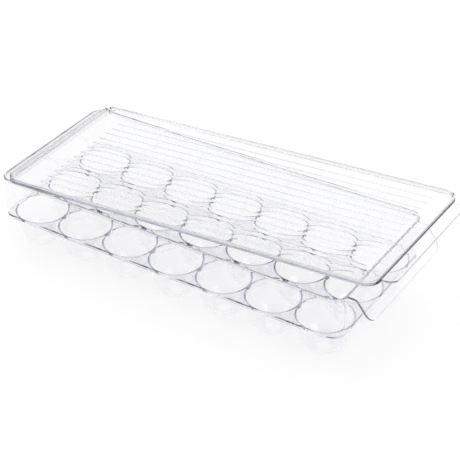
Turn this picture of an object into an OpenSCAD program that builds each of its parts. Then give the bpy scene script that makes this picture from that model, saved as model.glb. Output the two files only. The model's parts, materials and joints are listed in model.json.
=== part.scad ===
// Refrigerator keeper with a flip lid: a clear moulded tray with three rows of round cups,
// a grip flap on its right end, and a clear ribbed lid that hinges near the left end.
// Origin: on the table under the middle of the cup grid. +X runs along the tray towards
// the grip, -Y is the front long side, +Z is up. Millimetres.

/* [Cups] */
// Inside diameter of a cup under its rounded lip
cup_d = 46.6; // [40:0.1:52]
// Least width of deck between two cups in a row
web_x = 2.9; // [2.4:0.1:5]
// Least width of deck between two rows
web_y = 2.2; // [2.2:0.1:5]
// Height from the table to the top of the deck, which is the depth of a cup
cup_depth = 35.5; // [32:0.5:42]
// Wall thickness of a cup
cup_wall = 1.8; // [1.4:0.1:1.8]
// How much narrower the round bottom of a cup is than its mouth, measured on the radius
cup_taper = 2; // [1.5:0.1:2.5]
// Radius of the small flat that a cup stands on
foot_r = 7; // [5:0.5:10]

/* [Tray] */
// Thickness of the deck between the cups, and radius of each cup's lip
deck_t = 1.8; // [1.4:0.1:1.8]
// How far the foot of the side walls hangs below the deck
skirt_h = 1.4; // [0.6:0.1:3]
// Height of the side walls above the deck
wall_h = 38.5; // [30:0.5:50]
// Thickness of the side walls
wall_t = 1.6; // [1.2:0.1:2.4]
// How far each wall leans out from its foot to the rim
wall_draft = 0.6; // [0.3:0.1:2]
// Inside radius of the tray's corners at the deck
corner_r = 9.2; // [6:0.2:12]
// Height of the thicker band along the rim
rim_h = 3.2; // [2:0.2:6]
// How far that band stands out from the wall
rim_out = 0.6; // [0.4:0.1:1.5]

/* [Grip flap] */
// Length of rim left bare at each side of the flap
grip_side = 12; // [12:0.5:30]
// Length of its flat part, from the rim to the bend
grip_flat = 8; // [6:0.5:14]
// How far its sloping part reaches beyond the bend
grip_reach = 15; // [10:0.5:22]
// How far its sloping part comes down
grip_drop = 18.5; // [12:0.5:26]
// Thickness of the flap
grip_t = 2; // [1.4:0.1:2.4]
// How far the flap lies below the top of the rim
grip_step = 0.6; // [0.3:0.1:0.8]
// Outside radius of the bend
grip_bend_r = 5; // [3:0.5:8]
// Radius of the flap's two free corners
grip_corner_r = 9; // [4:0.5:12]

/* [Lid] */
// How far the lid's panel reaches beyond the right end of the rim
lid_beyond = 29.9; // [24:0.1:36]
// How far the lid stands out beyond each long side of the rim
lid_side = 3; // [2:0.1:5]
// Thickness of the panel
panel_t = 1.8; // [1.4:0.1:2]
// Height of the raised edge over the underside of the panel
edge_h = 4.6; // [3.4:0.1:5]
// Width of the raised edge
edge_t = 2.2; // [1.6:0.1:3]
// Radius of the lid's corners
lid_corner_r = 12; // [8:0.5:16]
// Length of edge left bare at each side of the lift tab
tab_side = 13; // [13:0.5:34]
// How far the lift tab stands out beyond the lid's right end
tab_out = 12; // [8:0.5:16]
// Radius of the tab's two free corners
tab_corner_r = 8; // [4:0.5:8]
// How far the shut lid lies above the rim
lid_gap = 0.3; // [0.2:0.1:0.6]

/* [Ribs] */
// Number of ribs along the lid
rib_count = 14; // [8:2:14]
// Distance from the lid's long side to the middle of the first rib
rib_side = 14; // [8:0.5:20]
// Width of a rib
rib_w = 2.4; // [1.6:0.1:3]
// Height of a rib, which is a shallow round bead
rib_h = 0.4; // [0.3:0.05:0.8]
// Bare length of panel left at the hinge end of the ribs
rib_start = 30; // [20:1:50]
// Bare length of panel left at the tab end of the ribs
rib_end = 18; // [12:1:30]

/* [Hinge] */
// Distance from the rim's left end to the axis of the hinge bar
hinge_in = 16; // [14:0.5:20]
// Distance from the axis to the lid's left edge
hinge_tail = 6; // [4:0.5:8]
// Radius of the hinge bar
bar_r = 2.3; // [2:0.1:2.6]
// Height of the axis over the rim
bar_rise = 1.5; // [1.4:0.1:1.7]
// Running gap between the bar and its notches
bar_gap = 0.08; // [0.05:0.01:0.1]
// Angle at which the lid is shown ajar, in degrees
lid_ajar = 4.2; // [0:0.1:10]

/* [Hidden] */
ROWS = ["front", "middle", "back"];
COLUMNS = 7;
CUPS = [for (row = [0:len(ROWS) - 1], column = [1:COLUMNS]) str("cup_", ROWS[row], "_", column)];

$fn = 64;
clear_plastic = [0.86, 0.87, 0.90, 0.45];
slack = 1; // extra reach of a cutting solid
BEND_STEPS = 10; // flats in the grip flap's bend
neck_sink = 0.1; // how deep the foot of a cup's neck lies in its round bottom

cup_pitch_x = cup_d + web_x;
cup_pitch_y = cup_d + web_y;
deck_l = COLUMNS * cup_pitch_x;
deck_w = len(ROWS) * cup_pitch_y;
deck_under = cup_depth - deck_t;
wall_foot = deck_under - skirt_h;
rim_top = cup_depth + wall_h;
rim_half_l = deck_l / 2 + wall_t + wall_draft + rim_out;
rim_half_w = deck_w / 2 + wall_t + wall_draft + rim_out;
rim_corner_r = corner_r + wall_t + wall_draft + rim_out;
grip_w = 2 * (rim_half_w - grip_side);

cup_outer_r = cup_d / 2 + cup_wall;
bowl_r = cup_outer_r - cup_taper;
bowl_z = sqrt(bowl_r * bowl_r - foot_r * foot_r);

hinge_x = hinge_in - rim_half_l;
hinge_z = rim_top + bar_rise;
lid_l = 2 * rim_half_l + lid_beyond - hinge_in + hinge_tail;
lid_w = 2 * (rim_half_w + lid_side);
tab_w = lid_w - 2 * tab_side;
rib_pitch = (lid_w - 2 * rib_side) / (rib_count - 1);
panel_under = lid_gap - bar_rise; // underside of the panel, seen from the hinge axis
panel_top = panel_under + panel_t;
// inside width of the walls at the rim, less a running gap: the lid's tail swings down there
tail_gap = 0.4;
tail_w = deck_w + 2 * wall_draft - 2 * tail_gap;

// Outline of a plate with round corners, centred on the origin
module round_outline(l, w, r) {
    square([l - 2 * r, w], center = true);
    square([l, w - 2 * r], center = true);
    for (x = [-1, 1], y = [-1, 1])
        translate([x * (l / 2 - r), y * (w / 2 - r)]) circle(r);
}

module round_plate(l, w, r, h) {
    linear_extrude(h) round_outline(l, w, r);
}

// Block with round corners whose four sides lean out by draft from bottom to top
module drafted_block(l, w, r, draft, h) {
    rotate([90, 0, 0]) linear_extrude(w - 2 * r, center = true)
        polygon([[-l / 2, 0], [l / 2, 0], [l / 2 + draft, h], [-l / 2 - draft, h]]);
    rotate([90, 0, 90]) linear_extrude(l - 2 * r, center = true)
        polygon([[-w / 2, 0], [w / 2, 0], [w / 2 + draft, h], [-w / 2 - draft, h]]);
    for (x = [-1, 1], y = [-1, 1])
        translate([x * (l / 2 - r), y * (w / 2 - r), 0]) cylinder(h = h, r1 = r, r2 = r + draft);
}

// Where a line from the cup's mouth, at radius mouth_r, touches its round bottom of radius r,
// sunk into that bottom so that the two cross
function neck_foot(mouth_r, r) =
    let (rise = deck_under - bowl_z,
         turn = atan2(rise, mouth_r) - acos(r / norm([mouth_r, rise])))
    [(r - neck_sink) * cos(turn), bowl_z + (r - neck_sink) * sin(turn)];

// Half section of a cup up to the deck's underside: round bottom from z_low, leaning neck
module cup_section(mouth_r, r, z_low) {
    neck = neck_foot(mouth_r, r);
    intersection() {
        translate([0, bowl_z]) circle(r);
        translate([0, z_low]) square([r, bowl_z - z_low]);
    }
    polygon([[0, neck[1]], neck, [mouth_r, deck_under], [0, deck_under]]);
}

// Half section of the space inside a cup, with its flat floor and round lip
module cup_space_section() {
    cup_section(cup_d / 2, bowl_r - cup_wall, cup_wall);
    difference() {
        translate([0, deck_under]) square([cup_d / 2 + deck_t, deck_t + slack]);
        translate([cup_d / 2 + deck_t, deck_under]) circle(deck_t);
    }
}

// One cup with its share of the deck. Neighbours' necks merge where they meet, so each
// cup ends at its share's sides. Outer corners of the deck follow the tray's corners.
module cup(column, row) {
    x = (column - (COLUMNS - 1) / 2) * cup_pitch_x;
    y = (row - (len(ROWS) - 1) / 2) * cup_pitch_y;
    color(clear_plastic) difference() {
        union() {
            translate([0, 0, deck_under]) linear_extrude(deck_t) intersection() {
                translate([x, y]) square([cup_pitch_x, cup_pitch_y], center = true);
                round_outline(deck_l, deck_w, corner_r);
            }
            intersection() {
                translate([x, y, 0]) rotate_extrude() cup_section(cup_outer_r, bowl_r, 0);
                translate([x, y, 0]) linear_extrude(deck_under)
                    square([cup_pitch_x, cup_pitch_y], center = true);
            }
        }
        translate([x, y, 0]) rotate_extrude() cup_space_section();
    }
}

// Side walls with their rim, open above and below, notched for the hinge bar
module tray_walls() {
    wall_l = deck_l + 2 * wall_t;
    wall_w = deck_w + 2 * wall_t;
    color(clear_plastic) difference() {
        union() {
            translate([0, 0, wall_foot])
                drafted_block(wall_l, wall_w, corner_r + wall_t, wall_draft, rim_top - wall_foot);
            translate([0, 0, rim_top - rim_h])
                round_plate(2 * rim_half_l, 2 * rim_half_w, rim_corner_r, rim_h);
        }
        translate([0, 0, wall_foot - slack])
            round_plate(deck_l, deck_w, corner_r, cup_depth - wall_foot + 2 * slack);
        translate([0, 0, cup_depth])
            drafted_block(deck_l, deck_w, corner_r, wall_draft, wall_h + slack);
        translate([hinge_x, 0, hinge_z]) rotate([90, 0, 0])
            cylinder(h = 2 * rim_half_w + slack, r = bar_r + bar_gap, center = true);
    }
}

// One face of the grip flap's bend, as points on an arc about the bend's axis
function bend_face(axis_x, r, slope) =
    [for (i = [0:BEND_STEPS]) [axis_x + r * sin(slope * i / BEND_STEPS), r * cos(slope * i / BEND_STEPS)]];

// Section of the grip flap seen from the front: flat, bend, and a slope of any length
module grip_section(flat_l, slope, slope_l) {
    outer = bend_face(flat_l, grip_bend_r, slope);
    inner = bend_face(flat_l, grip_bend_r - grip_t, slope);
    down = slope_l * [cos(slope), -sin(slope)];
    translate([0, -grip_bend_r]) polygon(concat(
        [[0, grip_bend_r]], outer, [outer[BEND_STEPS] + down, inner[BEND_STEPS] + down],
        [for (i = [BEND_STEPS:-1:0]) inner[i]], [[0, grip_bend_r - grip_t]]));
}

// Grip flap on the right end of the rim: flat, then bent down, with two round free corners
module grip_flap() {
    slope = atan(grip_drop / grip_reach);
    bend_l = grip_bend_r * tan(slope / 2);
    flat_l = grip_flat - bend_l;
    slope_l = norm([grip_reach, grip_drop]) - bend_l;
    cutter_l = 4 * (grip_flat + slope_l);
    color(clear_plastic) translate([rim_half_l, 0, rim_top - grip_step]) intersection() {
        rotate([90, 0, 0]) linear_extrude(grip_w + 2 * slack, center = true)
            grip_section(flat_l, slope, slope_l + slack);
        translate([flat_l, 0, -grip_bend_r]) rotate([0, slope, 0])
            linear_extrude(cutter_l, center = true)
                translate([slope_l - cutter_l / 2, 0]) round_outline(cutter_l, grip_w, grip_corner_r);
    }
}

// Outline of the lid seen from above, with the hinge axis at x = 0
module lid_outline() {
    translate([lid_l / 2 - hinge_tail, 0]) round_outline(lid_l, lid_w, lid_corner_r);
}

// Section of a rib across the lid: a shallow bead whose top is an arc, sunk into the panel
module rib_section() {
    bead_r = (rib_w * rib_w / 4 + rib_h * rib_h) / (2 * rib_h);
    intersection() {
        translate([0, rib_h - bead_r]) circle(bead_r);
        translate([0, rib_h / 2 - panel_t / 4]) square([2 * bead_r, rib_h + panel_t / 2], center = true);
    }
}

// Lid in its shut position, seen from the hinge axis
module shut_lid() {
    tab_l = 2 * (tab_out + tab_corner_r);
    rib_l = lid_l - rib_start - rib_end;
    difference() {
        union() {
            translate([0, 0, panel_under]) linear_extrude(panel_t) lid_outline();
            translate([0, 0, panel_under]) linear_extrude(edge_h) difference() {
                lid_outline();
                translate([lid_l / 2 - hinge_tail, 0])
                    round_outline(lid_l - 2 * edge_t, lid_w - 2 * edge_t, lid_corner_r - edge_t);
            }
            translate([lid_l - hinge_tail + tab_out - tab_l / 2, 0, panel_under])
                round_plate(tab_l, tab_w, tab_corner_r, panel_t);
        }
        // the tail swings down between the long walls, so it is narrower than the lid
        for (side = [-1, 1])
            translate([-hinge_tail - slack, side * tail_w / 2, panel_under - slack])
                mirror([0, side < 0 ? 1 : 0, 0])
                    cube([hinge_tail + slack, lid_w, edge_h + 2 * slack]);
    }
    rotate([90, 0, 0]) cylinder(h = 2 * rim_half_w + 2 * rim_out, r = bar_r, center = true);
    for (i = [0:rib_count - 1])
        translate([rib_start - hinge_tail, (i - (rib_count - 1) / 2) * rib_pitch, panel_top])
            rotate([90, 0, 90]) linear_extrude(rib_l) rib_section();
}

// Lid, shown ajar on its hinge bar
module lid() {
    color(clear_plastic) translate([hinge_x, 0, hinge_z]) rotate([0, -lid_ajar, 0]) shut_lid();
}

for (row = [0:len(ROWS) - 1], column = [0:COLUMNS - 1])
    cup(column, row);
tray_walls();
grip_flap();
lid();
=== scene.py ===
import json
import math

import bmesh
import bpy
from mathutils import Matrix, Vector


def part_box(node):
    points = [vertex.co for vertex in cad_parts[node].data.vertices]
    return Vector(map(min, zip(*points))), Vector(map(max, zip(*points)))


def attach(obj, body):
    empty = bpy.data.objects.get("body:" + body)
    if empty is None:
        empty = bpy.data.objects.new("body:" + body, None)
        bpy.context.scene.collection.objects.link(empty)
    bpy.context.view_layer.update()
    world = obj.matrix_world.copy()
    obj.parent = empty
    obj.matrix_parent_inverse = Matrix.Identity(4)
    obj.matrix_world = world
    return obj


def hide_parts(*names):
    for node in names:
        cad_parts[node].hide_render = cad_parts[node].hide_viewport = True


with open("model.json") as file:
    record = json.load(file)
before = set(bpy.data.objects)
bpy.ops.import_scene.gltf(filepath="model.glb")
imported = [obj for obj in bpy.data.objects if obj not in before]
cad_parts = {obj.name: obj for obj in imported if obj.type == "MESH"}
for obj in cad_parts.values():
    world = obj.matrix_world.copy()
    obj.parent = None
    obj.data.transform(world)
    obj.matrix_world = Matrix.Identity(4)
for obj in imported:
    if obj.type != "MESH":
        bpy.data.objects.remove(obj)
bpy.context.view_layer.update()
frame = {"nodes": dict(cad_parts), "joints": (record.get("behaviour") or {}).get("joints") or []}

# The cups. 21 round cups hang under the deck, part of the tray's one shot of clear styrene. Each
# is a round bottom on a small flat with a neck that leans out to a rounded lip. Neighbouring
# necks run into each other, so one cup is cut to its share of the deck, and then repeated.
cup_low, cup_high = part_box("cup_front_1")
cup_pitch_x = cup_high.x - cup_low.x
cup_pitch_y = cup_high.y - cup_low.y
cup_columns = 7
cup_rows = 3
cup_sides = 80
deck_top = cup_high.z
deck_t = 0.0018
deck_under = deck_top - deck_t
cup_wall = 0.0018
cup_inner_r = 0.0233
cup_outer_r = cup_inner_r + cup_wall
bowl_outer_r = cup_outer_r - 0.002
bowl_inner_r = bowl_outer_r - cup_wall
foot_r = 0.007
bowl_z = math.sqrt(bowl_outer_r ** 2 - foot_r ** 2)
bowl_rings = 12
lip_rings = 6
deck_half_l = cup_columns * cup_pitch_x / 2
deck_half_w = cup_rows * cup_pitch_y / 2
deck_corner_r = 0.0092
corner_steps = 12
hair = 0.00002
bite = 0.00001
slack = 0.001
square_on = 0.999


def choose(kind, test):
    """Selects the vertices, edges or faces of the mesh being edited that pass the test, and nothing else."""
    bpy.ops.mesh.select_mode(type=kind)
    bpy.ops.mesh.select_all(action="DESELECT")
    work = bmesh.from_edit_mesh(bpy.context.object.data)
    work.normal_update()
    for part in {"VERT": work.verts, "EDGE": work.edges, "FACE": work.faces}[kind]:
        if test(part):
            part.select_set(True)
    work.select_flush_mode()
    bmesh.update_edit_mesh(bpy.context.object.data)


def middle(part):
    """Middle of an edge or a face."""
    return sum((v.co for v in part.verts), Vector()) / len(part.verts)


def closed(name):
    """Turns the faces of the solid being edited outwards and leaves it, under its name."""
    bpy.ops.mesh.select_all(action="SELECT")
    bpy.ops.mesh.normals_make_consistent(inside=False)
    bpy.ops.object.mode_set(mode="OBJECT")
    bpy.context.object.name = name
    return bpy.context.object


def turned(name, rings):
    """Adds a solid turned about the Z axis, from its rings, each a radius and a height, foot first."""
    radius, height = rings[0]
    bpy.ops.object.select_all(action="DESELECT")
    bpy.ops.mesh.primitive_circle_add(vertices=cup_sides, radius=radius, fill_type="NGON",
                                      location=(0, 0, height))
    bpy.ops.object.transform_apply(location=True, rotation=True, scale=True)
    bpy.ops.object.mode_set(mode="EDIT")
    bpy.ops.mesh.select_all(action="SELECT")
    for new_radius, new_height in rings[1:]:
        bpy.ops.mesh.extrude_region_move(
            TRANSFORM_OT_translate={"value": (0, 0, new_height - height)})
        scale = new_radius / radius
        bpy.ops.transform.resize(value=(scale, scale, 1), center_override=(0, 0, new_height))
        radius, height = new_radius, new_height
    return closed(name)


def block(name, half_l, half_w, corner, levels):
    """Adds a block with round corners about the Z axis. Its levels, foot first, each say how far the
    sides stand out from the half sizes, and at what height."""
    out, height = levels[0]
    bpy.ops.object.select_all(action="DESELECT")
    bpy.ops.mesh.primitive_plane_add(size=2, location=(0, 0, height))
    bpy.context.object.scale = (half_l + out, half_w + out, 1)
    bpy.ops.object.transform_apply(location=True, rotation=True, scale=True)
    bpy.ops.object.mode_set(mode="EDIT")
    bpy.ops.mesh.select_all(action="SELECT")
    if corner:
        bpy.ops.mesh.bevel(offset=corner + out, offset_type="OFFSET", segments=corner_steps,
                           affect="VERTICES")
        choose("FACE", lambda f: True)
    for new_out, new_height in levels[1:]:
        bpy.ops.mesh.extrude_region_move(
            TRANSFORM_OT_translate={"value": (0, 0, new_height - height)})
        top = {v.index for v in bmesh.from_edit_mesh(bpy.context.object.data).verts if v.select}
        scale = (corner + new_out) / (corner + out) if new_out != out else 1
        for x, y in ((1, 1), (-1, 1), (-1, -1), (1, -1)):
            choose("VERT", lambda v: v.index in top and v.co.x * x > 0 and v.co.y * y > 0)
            bpy.ops.transform.resize(
                value=(scale, scale, 1),
                center_override=(x * (half_l - corner), y * (half_w - corner), new_height))
        choose("FACE", lambda f: all(v.index in top for v in f.verts))
        out, height = new_out, new_height
    return closed(name)


def carve(piece, tool, operation):
    """Joins a tool's shape to a piece, cuts it away or keeps only what it holds, and deletes the tool."""
    carving = piece.modifiers.new("carving", "BOOLEAN")
    carving.operation = operation
    carving.solver = "MANIFOLD"
    carving.object = tool
    bpy.context.view_layer.objects.active = piece
    bpy.ops.object.modifier_apply(modifier=carving.name)
    bpy.data.objects.remove(tool)


def cup_skin(mouth_r, sphere_r, floor_z, top_z):
    """Rings of a cup: its flat floor's edge, its round bottom, and its neck, which leans out through
    the mouth's radius at the deck's underside and on to the height top_z."""
    rise = deck_under - bowl_z
    first = math.acos((bowl_z - floor_z) / sphere_r)
    lean = math.acos(sphere_r / math.hypot(mouth_r, rise)) - math.atan2(rise, mouth_r)
    last = math.pi / 2 - lean
    angles = [first + (last - first) * i / bowl_rings for i in range(bowl_rings + 1)]
    rings = [(sphere_r * math.sin(a), bowl_z - sphere_r * math.cos(a)) for a in angles]
    return rings + [(mouth_r + (top_z - deck_under) * math.tan(lean), top_z)]


lip_angles = [math.pi / 2 * i / lip_rings for i in range(1, lip_rings)]
lip = [(cup_outer_r - deck_t * math.cos(a), deck_under + deck_t * math.sin(a)) for a in lip_angles]
lip += [(cup_outer_r, deck_top + bite), (cup_outer_r, deck_top + slack)]
cups = turned("cups", cup_skin(cup_outer_r, bowl_outer_r, 0, deck_under + deck_t / 2))
carve(cups, block("deck", cup_pitch_x / 2, cup_pitch_y / 2, 0,
                  [(slack, deck_under), (slack, deck_top)]), "UNION")
carve(cups, block("share", cup_pitch_x / 2, cup_pitch_y / 2, 0,
                  [(0, -slack), (0, deck_top + slack)]), "INTERSECT")
carve(cups, turned("space", cup_skin(cup_inner_r, bowl_inner_r, cup_wall, deck_under) + lip), "DIFFERENCE")
cups.select_set(True)
bpy.ops.object.mode_set(mode="EDIT")
bpy.ops.mesh.select_all(action="SELECT")
bpy.ops.mesh.dissolve_limited(angle_limit=math.radians(0.1))
bpy.ops.object.mode_set(mode="OBJECT")
cups.location = (-(cup_columns - 1) / 2 * cup_pitch_x, -(cup_rows - 1) / 2 * cup_pitch_y, 0)
bpy.ops.object.transform_apply(location=True, rotation=True, scale=True)
for count, step in ((cup_columns, (cup_pitch_x, 0, 0)), (cup_rows, (0, cup_pitch_y, 0))):
    repeat = cups.modifiers.new("repeat", "ARRAY")
    repeat.count = count
    repeat.use_relative_offset = False
    repeat.use_constant_offset = True
    repeat.constant_offset_displace = step
    bpy.ops.object.modifier_apply(modifier=repeat.name)


def between_cups(f):
    """Test for a side of a cup's share that meets its neighbour's."""
    place = middle(f)
    return (abs(f.normal.x) > square_on and abs(place.x) < deck_half_l - slack
            or abs(f.normal.y) > square_on and abs(place.y) < deck_half_w - slack)


bpy.ops.object.mode_set(mode="EDIT")
choose("FACE", between_cups)
bpy.ops.mesh.delete(type="FACE")
bpy.ops.mesh.select_all(action="SELECT")
bpy.ops.mesh.remove_doubles(threshold=hair)
closed("cups")
carve(cups, block("round corners", deck_half_l, deck_half_w, deck_corner_r,
                  [(bite, -slack), (bite, deck_top + slack)]), "INTERSECT")

# The side walls. They stand on the deck's edge, with their foot a little below it, and lean out
# so that the moulding leaves its tool. A band stands out round their top, and its edges and the
# walls' foot are eased.
wall_t = 0.0016
wall_draft = 0.0006
rim_h = 0.0032
rim_out = 0.0006
rim_ease = 0.0009
band_ease = 0.0003
foot_ease = 0.0007
ease_steps = 4
wall_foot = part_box("tray_walls")[0].z
rim_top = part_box("tray_walls")[1].z
rim_half_l = deck_half_l + wall_t + wall_draft + rim_out
band_foot = rim_top - rim_h
band_lean = wall_draft * (band_foot - wall_foot) / (rim_top - wall_foot)
deck_middle = deck_top - deck_t / 2
sharp = math.radians(60)


def ease(size, test):
    """Rounds the sharp edges of the mesh being edited that pass the test."""
    choose("EDGE", lambda e: e.calc_face_angle(0) > sharp and test(e))
    bpy.ops.mesh.bevel(offset=size, offset_type="OFFSET", segments=ease_steps, affect="EDGES")


def spread(e):
    """How much an edge rises from end to end."""
    return abs(e.verts[0].co.z - e.verts[1].co.z)


tray = block("tray", deck_half_l + wall_t, deck_half_w + wall_t, deck_corner_r + wall_t,
             [(0, wall_foot), (band_lean, band_foot), (wall_draft + rim_out, band_foot),
              (wall_draft + rim_out, rim_top)])
carve(tray, block("space", deck_half_l, deck_half_w, deck_corner_r,
                  [(-slack / 4, wall_foot - slack), (-slack / 4, deck_middle), (-bite, deck_middle),
                   (-bite, deck_top), (wall_draft, rim_top + slack)]), "DIFFERENCE")
bpy.ops.object.mode_set(mode="EDIT")
ease(rim_ease, lambda e: spread(e) < hair and middle(e).z > rim_top - hair)
ease(band_ease, lambda e: spread(e) < hair and abs(middle(e).z - band_foot) < hair)
ease(foot_ease, lambda e: spread(e) < hair and middle(e).z < wall_foot + hair)
bpy.ops.object.mode_set(mode="OBJECT")
carve(tray, cups, "UNION")

# The grip flap. It grows out of the rim's right end in the same shot of plastic: a flat tongue,
# a bend, and a slope that leaves a finger's width to the wall, its free corners round.
grip_low, grip_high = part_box("grip_flap")
grip_half_w = grip_high.y
grip_top = grip_high.z
grip_t = 0.002
grip_flat = 0.008
grip_drop = 0.0185
grip_reach = grip_high.x - grip_low.x - grip_flat
grip_slope = math.atan(grip_drop / grip_reach)
grip_bend_r = 0.005
grip_bends = 10
grip_corner_r = 0.009
grip_ease = 0.0008
bend_l = grip_bend_r * math.tan(grip_slope / 2)
slope_l = math.hypot(grip_reach, grip_drop) - bend_l
bend_axis = Vector((rim_half_l + grip_flat - bend_l, 0, grip_top - grip_bend_r))
down_slope = Vector((math.cos(grip_slope), 0, -math.sin(grip_slope)))

bpy.ops.object.select_all(action="DESELECT")
bpy.ops.mesh.primitive_plane_add(size=2)
flap = bpy.context.object
flap.scale = (grip_t / 2, grip_half_w, 1)
flap.rotation_euler = (0, math.pi / 2, 0)
flap.location = (rim_half_l - rim_out, 0, grip_top - grip_t / 2)
bpy.ops.object.transform_apply(location=True, rotation=True, scale=True)
bpy.ops.object.mode_set(mode="EDIT")
bpy.ops.mesh.select_all(action="SELECT")
bpy.ops.mesh.extrude_region_move(
    TRANSFORM_OT_translate={"value": (grip_flat - bend_l + rim_out, 0, 0)})
for i in range(grip_bends):
    bpy.ops.mesh.extrude_region_move()
    bpy.ops.transform.rotate(value=-grip_slope / grip_bends, orient_axis="Y",
                             center_override=bend_axis)
bpy.ops.mesh.extrude_region_move(TRANSFORM_OT_translate={"value": (slope_l + slack) * down_slope})
closed("flap")
cutter = block("cutter", slope_l + grip_corner_r, grip_half_w, grip_corner_r,
               [(0, -4 * grip_bend_r), (0, 4 * grip_bend_r)])
cutter.rotation_euler = (0, grip_slope, 0)
cutter.location = bend_axis - grip_corner_r * down_slope
cutter.select_set(True)
bpy.ops.object.transform_apply(location=True, rotation=True, scale=True)
carve(flap, cutter, "INTERSECT")
bpy.ops.object.mode_set(mode="EDIT")
ease(grip_ease, lambda e: middle(e).x > rim_half_l - rim_out + hair)
bpy.ops.object.mode_set(mode="OBJECT")
carve(tray, flap, "UNION")

# The lid. The second moulding: a flat panel with round corners, an edge that stands up all
# round it, and a lift tab on its right end. It is drawn shut, about its hinge axis.
hinge = Vector(frame["joints"][0]["pos_m"])
ajar = math.radians(-frame["joints"][0]["range_deg"][0])
lid_l = 0.372
lid_half_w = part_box("lid")[1].y
lid_corner_r = 0.012
hinge_tail = 0.006
lid_gap = 0.0003
bar_rise = hinge.z - rim_top
panel_t = 0.0018
panel_under = lid_gap - bar_rise
panel_top = panel_under + panel_t
edge_h = 0.0046
edge_t = 0.0022
lid_right = lid_l - hinge_tail
tab_half_w = 0.066
tab_out = 0.012
tab_corner_r = 0.008
same = 0.0003


def is_corner(e):
    """Test for an edge that stands straight up."""
    return math.hypot(*(e.verts[0].co - e.verts[1].co).xy) < hair


def at_right_end(f):
    """Test for the end of the lid's panel, where the tab starts."""
    return f.normal.x > square_on and middle(f).z < panel_top and middle(f).x > lid_right - same


bpy.ops.object.select_all(action="DESELECT")
bpy.ops.mesh.primitive_cube_add(size=1, location=(lid_l / 2 - hinge_tail, 0, panel_under + panel_t / 2),
                                scale=(lid_l, 2 * lid_half_w, panel_t))
bpy.ops.object.transform_apply(location=True, rotation=True, scale=True)
lid = bpy.context.object
lid.name = "lid_moulding"
bpy.ops.object.mode_set(mode="EDIT")
choose("EDGE", is_corner)
bpy.ops.mesh.bevel(offset=lid_corner_r, offset_type="OFFSET", segments=corner_steps, affect="EDGES")
choose("FACE", lambda f: f.normal.z > square_on)
bpy.ops.mesh.inset(thickness=edge_t, use_even_offset=True)
choose("FACE", lambda f: f.normal.z > square_on and len(f.verts) == 4)
bpy.ops.mesh.extrude_region_move(TRANSFORM_OT_translate={"value": (0, 0, edge_h - panel_t)})
for side in (1, -1):
    choose("FACE", at_right_end)
    bpy.ops.mesh.bisect(plane_co=(0, side * tab_half_w, 0), plane_no=(0, 1, 0), threshold=1e-7)
choose("FACE", lambda f: at_right_end(f) and abs(middle(f).y) < tab_half_w - same)
bpy.ops.mesh.extrude_region_move(TRANSFORM_OT_translate={"value": (tab_out, 0, 0)})
choose("EDGE", lambda e: is_corner(e) and middle(e).x > lid_right + tab_out - same)
bpy.ops.mesh.bevel(offset=tab_corner_r, offset_type="OFFSET", segments=corner_steps, affect="EDGES")

# The ribs. Fourteen shallow round beads stiffen the panel along its length. Lines cut into the
# panel's face are raised to a bead's arc, and run out at its ends. Then the lid's edges are
# eased, with a fillet inside the raised edge.
rib_count = 14
rib_pitch = 0.010
rib_half_w = 0.0012
rib_h = 0.0004
rib_runs_out = 0.0016
rib_from = 0.030 - hinge_tail
rib_to = lid_right - 0.018
rib_places = [(i - (rib_count - 1) / 2) * rib_pitch for i in range(rib_count)]
rib_lines = 3
rib_arc_r = (rib_half_w ** 2 + rib_h ** 2) / (2 * rib_h)
lid_ease = 0.0008
lid_fillet = 0.0019


def on_panel(f):
    """Test for the top of the panel, inside the raised edge."""
    return f.normal.z > square_on and abs(middle(f).z - panel_top) < hair and middle(f).x < lid_right


cuts = [(Vector((0, place + i * rib_half_w / rib_lines, 0)), Vector((0, 1, 0)))
        for place in rib_places for i in range(-rib_lines, rib_lines + 1)]
cuts += [(Vector((place, 0, 0)), Vector((1, 0, 0)))
         for place in (rib_from, rib_from + rib_runs_out, rib_to - rib_runs_out, rib_to)]
for across, way in cuts:
    choose("FACE", on_panel)
    bpy.ops.mesh.bisect(plane_co=across, plane_no=way, threshold=1e-7)
for i in range(1 - rib_lines, rib_lines):
    off = i * rib_half_w / rib_lines
    choose("VERT", lambda v: abs(v.co.z - panel_top) < hair
           and rib_from + hair < v.co.x < rib_to - hair
           and min(abs(v.co.y - place - off) for place in rib_places) < hair)
    bpy.ops.transform.translate(
        value=(0, 0, math.sqrt(rib_arc_r ** 2 - off ** 2) - rib_arc_r + rib_h))
ease(lid_fillet, lambda e: spread(e) < hair and abs(middle(e).z - panel_top) < hair
     and middle(e).x < lid_right - hair)
ease(lid_ease, lambda e: not is_corner(e))
bpy.ops.object.mode_set(mode="OBJECT")

# The hinge. A round bar is moulded across the underside of the lid's left end, and lies in a
# shallow round notch in the top of each long wall, with a running gap. Beyond it the lid's tail
# is narrower, so that it can swing down between the walls.
bar_r = 0.0023
bar_gap = 0.00008
bar_half_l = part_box("tray_walls")[1].y + rim_out
bar_ease = 0.0004
bar_sides = 64
tail_gap = 0.0004
tail_half_w = deck_half_w + wall_draft - tail_gap


def bar_shape(radius, half_l, place):
    """Adds a round bar across the tray."""
    bpy.ops.object.select_all(action="DESELECT")
    bpy.ops.mesh.primitive_cylinder_add(vertices=bar_sides, radius=radius, depth=2 * half_l,
                                        location=place, rotation=(math.pi / 2, 0, 0))
    bpy.ops.object.transform_apply(location=True, rotation=True, scale=True)
    return bpy.context.object


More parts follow.
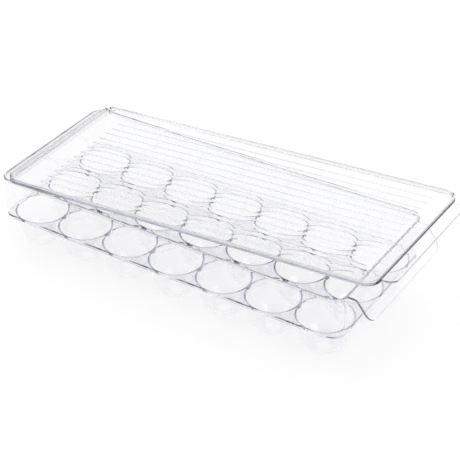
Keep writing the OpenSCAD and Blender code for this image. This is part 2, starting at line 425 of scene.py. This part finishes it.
for side in (1, -1):
    bpy.ops.object.select_all(action="DESELECT")
    bpy.ops.mesh.primitive_cube_add(
        size=1, location=(-hinge_tail / 2 - slack, side * (tail_half_w + lid_half_w / 2), 0),
        scale=(hinge_tail + 2 * slack, lid_half_w, 4 * edge_h))
    bpy.ops.object.transform_apply(location=True, rotation=True, scale=True)
    carve(lid, bpy.context.object, "DIFFERENCE")
bar = bar_shape(bar_r, bar_half_l, (0, 0, 0))
bpy.ops.object.mode_set(mode="EDIT")
ease(bar_ease, lambda e: True)
bpy.ops.object.mode_set(mode="OBJECT")
carve(lid, bar, "UNION")
lid.location = hinge
lid.rotation_euler = (0, -ajar, 0)
lid.select_set(True)
bpy.context.view_layer.objects.active = lid
bpy.ops.object.transform_apply(location=True, rotation=True, scale=True)
carve(tray, bar_shape(bar_r + bar_gap, bar_half_l + slack, hinge), "DIFFERENCE")

smooth_under = math.radians(34)
for piece in (tray, lid):
    bpy.ops.object.select_all(action="DESELECT")
    piece.select_set(True)
    bpy.context.view_layer.objects.active = piece
    bpy.ops.object.mode_set(mode="EDIT")
    bpy.ops.mesh.select_all(action="SELECT")
    bpy.ops.mesh.remove_doubles(threshold=hair / 4)
    bpy.ops.mesh.dissolve_degenerate(threshold=hair / 4)
    bpy.ops.object.mode_set(mode="OBJECT")
    bpy.ops.object.shade_smooth_by_angle(angle=smooth_under)
    flats = piece.modifiers.new("flats", "WEIGHTED_NORMAL")
    flats.keep_sharp = True
    bpy.ops.object.modifier_apply(modifier=flats.name)

# The plastic. Clear styrene with a faint cool tint, glossy from the tool, with soft flow marks
# from the gate and fine wiping haze. Edges, which gather light from along the sheet, go a
# greyish lavender: partly by real absorption, and partly by painted shade, a darker tint painted
# into the base colour on the rims, lips and outlines.
styrene_tint = (0.998, 0.998, 0.999)
styrene_tint_cool = (0.990, 0.990, 0.995)
# Painted shade: a darker greyish lavender base colour for the rims, lips and outlines.
painted_edge_shade = (0.870, 0.870, 0.900)
edge_soft = 0.0003
styrene_ior = 1.57
styrene_absorbs = (0.80, 0.80, 0.84)
styrene_density = 32
flow_marks = {"Scale": 28, "Detail": 2, "Roughness": 0.5, "Distortion": 0.6}
flow_strength = 0.04
flow_height = 0.0006
wiping_haze = {"Scale": 240, "Detail": 4}
tool_grain = {"Scale": 1400, "Detail": 2}
grain_share = 0.02
tool_gloss = 0.004
haze_dulls = 0.02
flow_dulls = 0.01
lamp_share = (0.97, 0.97, 0.975, 1)


class Wire:
    """A shader socket that takes part in sums."""

    def __init__(self, tree, socket=None):
        self.tree, self.socket = tree, socket

    def node(self, kind, settings=None, inputs=None, output=None):
        """Adds a node with its settings, then its inputs, and gives a wire from its output."""
        added = self.tree.nodes.new(kind)
        for name, value in (settings or {}).items():
            setattr(added, name, value)
        for name, value in (inputs or {}).items():
            socket = added.inputs[name] if isinstance(name, int) else next(
                s for s in added.inputs if s.name == name and s.enabled)
            if isinstance(value, Wire):
                self.tree.links.new(value.socket, socket)
            else:
                socket.default_value = value
        if isinstance(output, str):
            return Wire(self.tree, added.outputs[output])
        return Wire(self.tree, next((s for s in added.outputs if s.enabled), None))

    def sum(self, operation, first, second):
        return self.node("ShaderNodeMath", {"operation": operation}, {0: first, 1: second})

    def __add__(self, other):
        return self.sum("ADD", self, other)

    __radd__ = __add__

    def __sub__(self, other):
        return self.sum("SUBTRACT", self, other)

    def __rsub__(self, other):
        return self.sum("SUBTRACT", other, self)

    def __mul__(self, other):
        return self.sum("MULTIPLY", self, other)

    __rmul__ = __mul__


def past(value, place):
    """1 where a value is past a place, with a soft start."""
    return value.node("ShaderNodeMapRange", {"interpolation_type": "SMOOTHSTEP"}, {
        "Value": value, "From Min": place - edge_soft, "From Max": place + edge_soft})


def tray_painted_shade_mask(places):
    """Mask of painted edge shade: the tray's rim, its deck with the cups' lips, and the grip flap's outline.
    """
    split = places.node("ShaderNodeSeparateXYZ", None, {"Vector": places}).socket.node
    x, y, height = (Wire(places.tree, split.outputs[axis]) for axis in "XYZ")
    across = y.sum("ABSOLUTE", y, 0)
    level = past(height, band_foot) + past(height, deck_under) - past(height, deck_top + edge_soft)
    side = past(across, grip_half_w - grip_ease)
    outline = side.sum("MAXIMUM", side, past(x, grip_high.x - grip_ease))
    on_flap = past(x, rim_half_l)
    return level * (1 - on_flap) + outline * on_flap


def lid_painted_shade_mask(places):
    """Mask of painted edge shade on the lid's raised edge, in the lid's own frame."""
    shut = Matrix.Rotation(ajar, 3, "Y")
    own = places.node("ShaderNodeMapping", None, {
        "Vector": places, "Location": -(shut @ hinge), "Rotation": (0, ajar, 0)})
    height = own.node("ShaderNodeSeparateXYZ", None, {"Vector": own}, "Z")
    return past(height, panel_top + 2 * rib_h)


def clear_styrene(name, flow_along, edges):
    """Material of one moulding. flow_along stretches its flow marks along the tray, and edges gives
    the mask where a darker tint is painted into the base colour as shade on rims, lips and outlines."""
    plastic = bpy.data.materials.new(name)
    plastic.use_nodes = True
    plastic.node_tree.nodes.clear()
    wire = Wire(plastic.node_tree)
    places = wire.node("ShaderNodeTexCoord", output="Object")
    along = wire.node("ShaderNodeMapping", None, {"Vector": places, "Scale": (flow_along, 1, 1)})
    flow = wire.node("ShaderNodeTexNoise", None, {"Vector": along, **flow_marks})
    haze = wire.node("ShaderNodeTexNoise", None, {"Vector": places, **wiping_haze})
    grain = wire.node("ShaderNodeTexNoise", None, {"Vector": places, **tool_grain})
    tone_and_painted_shade = wire.node("ShaderNodeMix", {"data_type": "RGBA"},
                     {"Factor": flow, "A": (*styrene_tint, 1), "B": (*styrene_tint_cool, 1)})
    # Painted shade: the darker tint is mixed into the base colour where the edge mask is 1.
    tone_and_painted_shade = wire.node("ShaderNodeMix", {"data_type": "RGBA"},
                     {"Factor": edges(places), "A": tone_and_painted_shade, "B": (*painted_edge_shade, 1)})
    ripple = wire.node("ShaderNodeBump", None, {
        "Strength": flow_strength, "Distance": flow_height, "Height": flow + grain_share * grain})
    clear = wire.node("ShaderNodeBsdfPrincipled", None, {
        "Base Color": tone_and_painted_shade, "Roughness": tool_gloss + haze_dulls * haze + flow_dulls * flow,
        "Normal": ripple, "IOR": styrene_ior, "Transmission Weight": 1})
    passing = wire.node("ShaderNodeBsdfTransparent", None, {"Color": lamp_share})
    lamp_ray = wire.node("ShaderNodeLightPath", output="Is Shadow Ray")
    surface = wire.node("ShaderNodeMixShader", None, {0: lamp_ray, 1: clear, 2: passing})
    depth = wire.node("ShaderNodeVolumeAbsorption", None,
                      {"Color": (*styrene_absorbs, 1), "Density": styrene_density})
    wire.node("ShaderNodeOutputMaterial", None, {"Surface": surface, "Volume": depth})
    return plastic


# Each moulding gets its own mask of painted edge shade.
for piece, name, flow_along, edges, body in ((tray, "tray_clear", 0.5, tray_painted_shade_mask, "tray"),
                                             (lid, "lid_clear", 0.3, lid_painted_shade_mask, "lid")):
    piece.data.materials.clear()
    piece.data.materials.append(clear_styrene(name, flow_along, edges))
    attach(piece, body)
tray_nodes = [name for name in frame["nodes"] if name != "lid"]
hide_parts(*tray_nodes)
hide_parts("lid")

# The floor. A plain pale sheet under the part. What looks at it, or at the room past it, sees
# white, less the part's soft shadow.
floor_half = 4
floor_white = (0.9, 0.9, 0.9, 1)
floor_shade = 0.25


def sees_white(wire):
    """1 for a ray that shows something to the camera, directly, by gloss or through plastic."""
    path = wire.node("ShaderNodeLightPath").socket.node
    seen = Wire(wire.tree, path.outputs["Is Camera Ray"])
    for kind in ("Is Glossy Ray", "Is Transmission Ray"):
        seen = wire.node("ShaderNodeMath", {"operation": "MAXIMUM"},
                         {0: seen, 1: Wire(wire.tree, path.outputs[kind])})
    return seen


bpy.ops.object.select_all(action="DESELECT")
bpy.ops.mesh.primitive_plane_add(size=2 * floor_half, location=(0, 0, 0))
floor = bpy.context.object
floor.name = "floor"
pale = bpy.data.materials.new("floor_white")
pale.use_nodes = True
pale.node_tree.nodes.clear()
wire = Wire(pale.node_tree)
lit = wire.node("ShaderNodeBsdfDiffuse", None, {"Color": floor_white})
white = wire.node("ShaderNodeEmission", None, {"Color": (1, 1, 1, 1), "Strength": 1})
shown = wire.node("ShaderNodeMixShader", None, {0: (1 - floor_shade) * sees_white(wire), 1: lit, 2: white})
wire.node("ShaderNodeOutputMaterial", None, {"Surface": shown})
floor.data.materials.append(pale)

# The room. It is white as far up as the floor and the walls throw light back, and dark overhead
# between the lamps, so the edges of the plastic that turn the view upwards show grey.
room_grey = 0.9
room_white_to = 0.54
room_dark_from = 0.85
room_overhead = 0.05

room = bpy.data.worlds.new("room")
bpy.context.scene.world = room
room.use_nodes = True
room.node_tree.nodes.clear()
wire = Wire(room.node_tree)
way = wire.node("ShaderNodeTexCoord", output="Generated")
rise = wire.node("ShaderNodeSeparateXYZ", None, {"Vector": way}, "Z")
shade = wire.node("ShaderNodeMapRange", {"interpolation_type": "SMOOTHSTEP"}, {
    "Value": rise, "From Min": room_white_to, "From Max": room_dark_from,
    "To Min": 1.0, "To Max": room_overhead})
past_part = wire.node("ShaderNodeBackground", None, {"Color": (1, 1, 1, 1), "Strength": shade})
soft = wire.node("ShaderNodeBackground", None, {"Color": (1, 1, 1, 1), "Strength": room_grey})
shown = wire.node("ShaderNodeMixShader", None, {0: sees_white(wire), 1: soft, 2: past_part})
wire.node("ShaderNodeOutputWorld", None, {"Surface": shown})

# The lamps. Large soft boxes, one over the part and one on each side of the camera.
for name, place, size, watts in (("over", (0.0, 0.3, 1.6), 1.6, 9),
                                 ("left", (-1.5, -1.0, 1.2), 1.2, 6),
                                 ("right", (1.6, -0.4, 1.0), 1.0, 4)):
    light = bpy.data.lights.new(name, "AREA")
    light.size = size
    light.energy = watts
    lamp = bpy.data.objects.new(name, light)
    lamp.matrix_world = (Matrix.Translation(place)
                         @ Vector(place).to_track_quat("Z", "Y").to_matrix().to_4x4())
    bpy.context.scene.collection.objects.link(lamp)

# The camera, at the photograph's angle.
image_px = 460
focal_px = 1485.06
axis_px = (186.44, 209.65)
azimuth = math.radians(33.75)
elevation = math.radians(33.35)
roll = math.radians(-0.52)
camera_distance = 1.29814
looks_at = Vector((-0.00254, -0.02885, rim_top))
sensor_mm = 36
back = Vector((math.sin(azimuth) * math.cos(elevation), -math.cos(azimuth) * math.cos(elevation),
               math.sin(elevation)))
level_right = Vector((math.cos(azimuth), math.sin(azimuth), 0))
level_up = back.cross(level_right)
right = math.cos(roll) * level_right + math.sin(roll) * level_up
up = math.cos(roll) * level_up - math.sin(roll) * level_right
camera_data = bpy.data.cameras.new("camera")
camera_data.sensor_width = sensor_mm
camera_data.lens = focal_px * sensor_mm / image_px
camera_data.shift_x = 0.5 - axis_px[0] / image_px
camera_data.shift_y = axis_px[1] / image_px - 0.5
camera = bpy.data.objects.new("camera", camera_data)
turn = Matrix((right, up, back)).transposed().to_4x4()
camera.matrix_world = Matrix.Translation(looks_at + camera_distance * back) @ turn
bpy.context.scene.collection.objects.link(camera)
bpy.context.scene.camera = camera

# The picture. Light goes on through the clear plastic until it comes out at an edge.
light_steps = 64
scene = bpy.context.scene
scene.view_settings.view_transform = "Standard"
scene.cycles.max_bounces = light_steps
scene.cycles.transmission_bounces = light_steps
scene.cycles.glossy_bounces = light_steps
scene.cycles.transparent_max_bounces = light_steps
